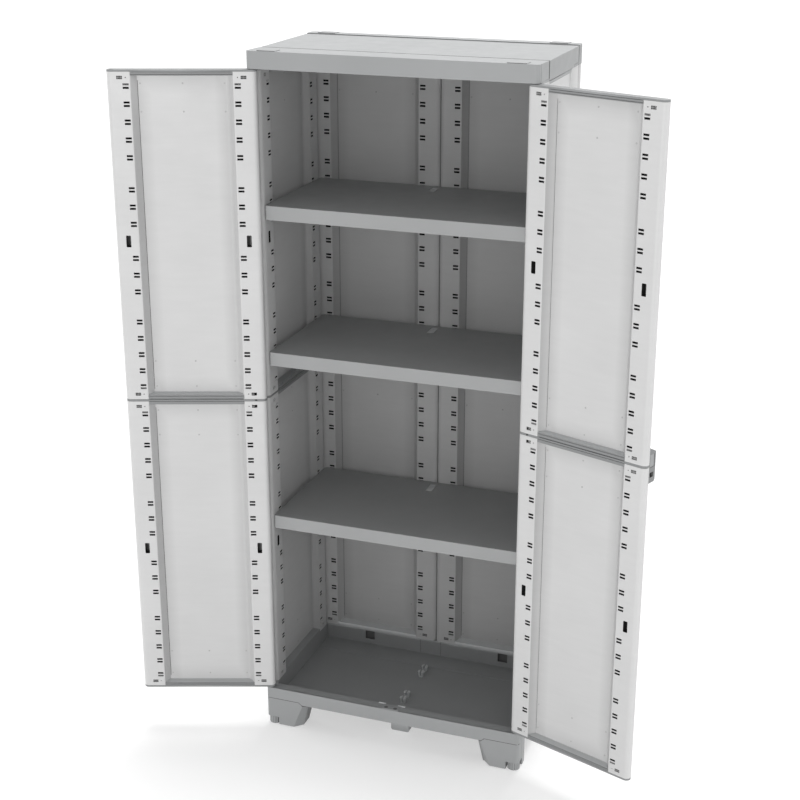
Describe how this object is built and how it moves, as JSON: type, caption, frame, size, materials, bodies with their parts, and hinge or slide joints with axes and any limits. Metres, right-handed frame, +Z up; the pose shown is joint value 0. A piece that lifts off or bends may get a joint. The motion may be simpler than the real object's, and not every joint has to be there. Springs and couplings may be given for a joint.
{
  "type": "garden storage cabinet",
  "caption": "Tall moulded-plastic garden storage cabinet with two hinged slotted doors, removable shelves, a tray base on feet with levelling wheels, and a flat cap.",
  "frame": {"origin": "on the floor at the middle of the footprint, on the centre foot's underside", "axes": "+Z up, -Y the front with the doors, +X to the right seen from the front"},
  "size_m": [1.272, 0.4908, 1.7042],
  "materials": {
    "panel_plastic": "satin moulded, light grey",
    "frame_plastic": "satin moulded, mid grey",
    "shelf_plastic": "satin moulded, mid grey"
  },
  "bodies": {
    "cabinet": {"base_tray": "frame_plastic", "centre_foot": "frame_plastic", "door_keeper": "frame_plastic", "foot_front_right": "frame_plastic", "foot_front_left": "frame_plastic", "foot_rear_right": "frame_plastic", "foot_rear_left": "frame_plastic", "side_panel_left_lower": "panel_plastic", "side_panel_left_upper": "panel_plastic", "side_panel_right_lower": "panel_plastic", "side_panel_right_upper": "panel_plastic", "back_panel_left_lower": "panel_plastic", "back_panel_left_upper": "panel_plastic", "back_panel_right_lower": "panel_plastic", "back_panel_right_upper": "panel_plastic", "side_mid_rail_left": "frame_plastic", "side_mid_rail_right": "frame_plastic", "back_mid_rail_left": "frame_plastic", "back_mid_rail_right": "frame_plastic", "cap_front_rail": "frame_plastic", "cap_panel": "frame_plastic", "cap_rear_rail": "frame_plastic", "cap_clips": "frame_plastic", "shelf_lower": "shelf_plastic", "shelf_middle": "shelf_plastic", "shelf_upper": "shelf_plastic", "shelf_clips": "shelf_plastic"},
    "left_door": {"door_left_panel_lower": "panel_plastic", "door_left_panel_upper": "panel_plastic", "door_left_mid_rail": "frame_plastic", "door_left_top_rail": "frame_plastic", "door_left_bottom_rail": "frame_plastic", "door_left_top_pin": "frame_plastic", "door_left_bottom_pin": "frame_plastic", "door_left_lug": "frame_plastic", "door_left_catch_studs": "frame_plastic"},
    "right_door": {"door_right_panel_lower": "panel_plastic", "door_right_panel_upper": "panel_plastic", "door_right_mid_rail": "frame_plastic", "door_right_top_rail": "frame_plastic", "door_right_bottom_rail": "frame_plastic", "door_right_top_pin": "frame_plastic", "door_right_bottom_pin": "frame_plastic", "door_right_lug": "frame_plastic"},
    "leveller_front_right_body": {"leveller_front_right": "frame_plastic"},
    "leveller_front_left_body": {"leveller_front_left": "frame_plastic"},
    "leveller_rear_right_body": {"leveller_rear_right": "frame_plastic"},
    "leveller_rear_left_body": {"leveller_rear_left": "frame_plastic"}
  },
  "joints": [
    {"name": "left_door_hinge", "type": "hinge", "parent": "cabinet", "child": "left_door", "pos_m": [-0.32355, -0.1822, 0], "axis": [0, 0, 1], "range_deg": [-20, 160]},
    {"name": "right_door_hinge", "type": "hinge", "parent": "cabinet", "child": "right_door", "pos_m": [0.32355, -0.1822, 0], "axis": [0, 0, -1], "range_deg": [-20, 160]},
    {"name": "leveller_front_right_turn", "type": "hinge", "parent": "cabinet", "child": "leveller_front_right_body", "pos_m": [0.318, -0.174, 0], "axis": [0, 0, 1], "continuous": true},
    {"name": "leveller_front_left_turn", "type": "hinge", "parent": "cabinet", "child": "leveller_front_left_body", "pos_m": [-0.318, -0.174, 0], "axis": [0, 0, 1], "continuous": true},
    {"name": "leveller_rear_right_turn", "type": "hinge", "parent": "cabinet", "child": "leveller_rear_right_body", "pos_m": [0.318, 0.174, 0], "axis": [0, 0, 1], "continuous": true},
    {"name": "leveller_rear_left_turn", "type": "hinge", "parent": "cabinet", "child": "leveller_rear_left_body", "pos_m": [-0.318, 0.174, 0], "axis": [0, 0, 1], "continuous": true}
  ]
}
